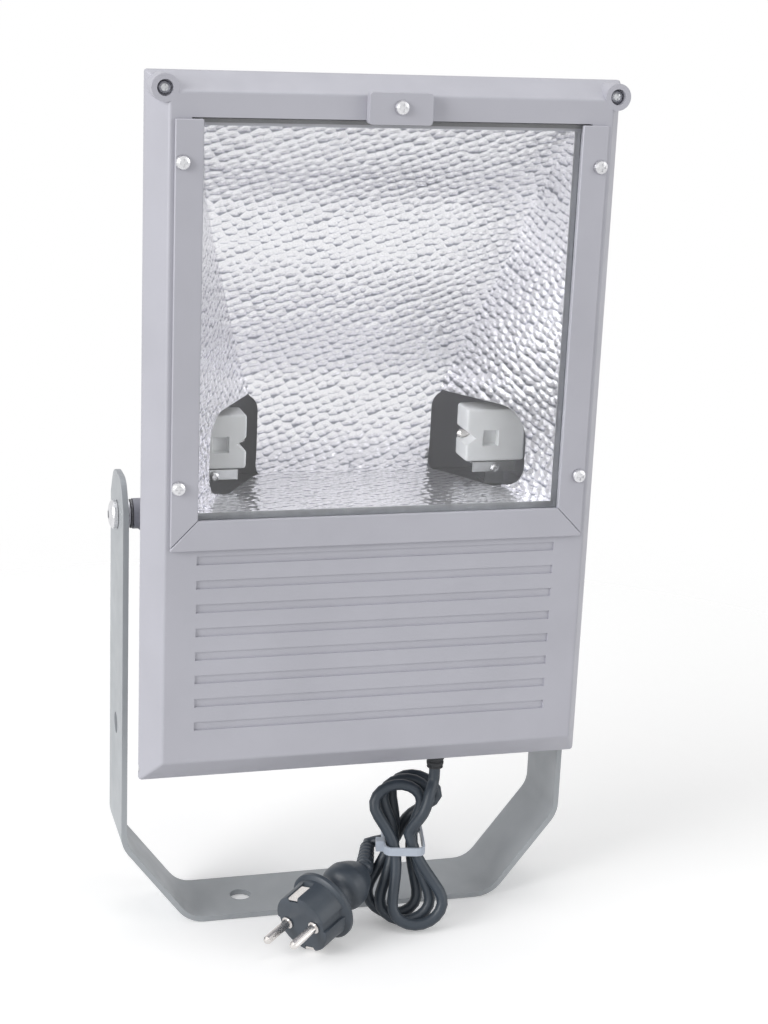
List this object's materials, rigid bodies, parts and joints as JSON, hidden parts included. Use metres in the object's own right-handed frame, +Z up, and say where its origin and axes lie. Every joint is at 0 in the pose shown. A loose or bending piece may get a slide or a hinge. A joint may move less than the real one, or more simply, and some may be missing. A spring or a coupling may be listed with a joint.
{
  "type": "asymmetric floodlight",
  "caption": "Asymmetric floodlight in a bent strap yoke, with a hinged glazed cover, hammered reflector, lamp sockets, control gear and a tied mains cord with an earthed plug.",
  "frame": {"origin": "centre of the underside of the yoke's base", "axes": "+Z up, -Y the way the front faces"},
  "size_m": [0.2532, 0.1287, 0.4509],
  "materials": {
    "silver_paint": "satin silver-grey paint on aluminium",
    "grey_paint": "satin grey paint on a steel strap",
    "zinc": "bright zinc plate",
    "dark_steel": "dark steel",
    "hammered": "bright hammered sheet",
    "bare_sheet": "plain sheet",
    "glass": "clear, with a green-blue edge",
    "ceramic": "unglazed white",
    "black_rubber": "matt black",
    "grey_rubber": "matt grey",
    "cord": "blue-black sheath",
    "plug": "matt blue-black",
    "tie": "pale grey-blue",
    "laminations": "stacked steel sheet",
    "copper": "enamelled winding",
    "pale_plastic": "matt off-white",
    "nickel": "bright nickel plate"
  },
  "bodies": {
    "yoke": {"yoke": "grey_paint", "cord_lead": "cord", "cord_hank": "cord", "cord_tail": "cord", "cable_tie": "tie", "plug_body": "plug", "plug_strain_relief": "plug", "plug_pin_left": "nickel", "plug_pin_right": "nickel", "earth_clip_upper": "nickel", "earth_clip_lower": "nickel"},
    "head": {"housing": "silver_paint", "cover_seal": "grey_rubber", "hinge_pin_left": "zinc", "hinge_pin_right": "zinc", "main_reflector": "hammered", "left_side_reflector": "hammered", "right_side_reflector": "hammered", "partition": "bare_sheet", "gear_tray": "zinc", "ballast_core": "laminations", "ballast_coil": "copper", "ignitor": "pale_plastic", "capacitor": "bare_sheet", "capacitor_clamp": "zinc", "terminal_block": "pale_plastic", "cable_gland": "plug", "gland_nut": "plug", "strain_relief": "black_rubber", "pivot_bolt_left": "zinc", "pivot_bolt_right": "zinc", "lock_washer_left": "dark_steel", "lock_washer_right": "dark_steel", "flat_washer_left": "zinc", "flat_washer_right": "zinc", "friction_disc_left": "dark_steel", "friction_disc_right": "dark_steel", "lampholder_left": "ceramic", "lampholder_right": "ceramic", "lamp_contact_left": "nickel", "lamp_contact_right": "nickel", "socket_bracket_left": "bare_sheet", "socket_bracket_right": "bare_sheet", "bracket_screw_left": "zinc", "bracket_screw_right": "zinc"},
    "cover": {"front_cover": "silver_paint", "left_stile": "silver_paint", "right_stile": "silver_paint", "bottom_rail": "silver_paint", "front_glass": "glass", "glass_gasket": "black_rubber", "top_clip": "silver_paint", "clip_screw": "zinc", "stile_screw_upper_left": "zinc", "stile_screw_upper_right": "zinc", "stile_screw_lower_left": "zinc", "stile_screw_lower_right": "zinc", "cover_screw_left": "dark_steel", "cover_screw_right": "dark_steel"}
  },
  "joints": [
    {"name": "head_tilt", "type": "hinge", "parent": "yoke", "child": "head", "pos_m": [0, 0, 0.2241], "axis": [1, 0, 0], "range_deg": [-90, 90], "deforming": ["cord_lead"]},
    {"name": "cover_hinge", "type": "hinge", "parent": "head", "child": "cover", "pos_m": [0, -0.047, 0.103], "axis": [1, 0, 0], "range_deg": [0, 90]}
  ]
}
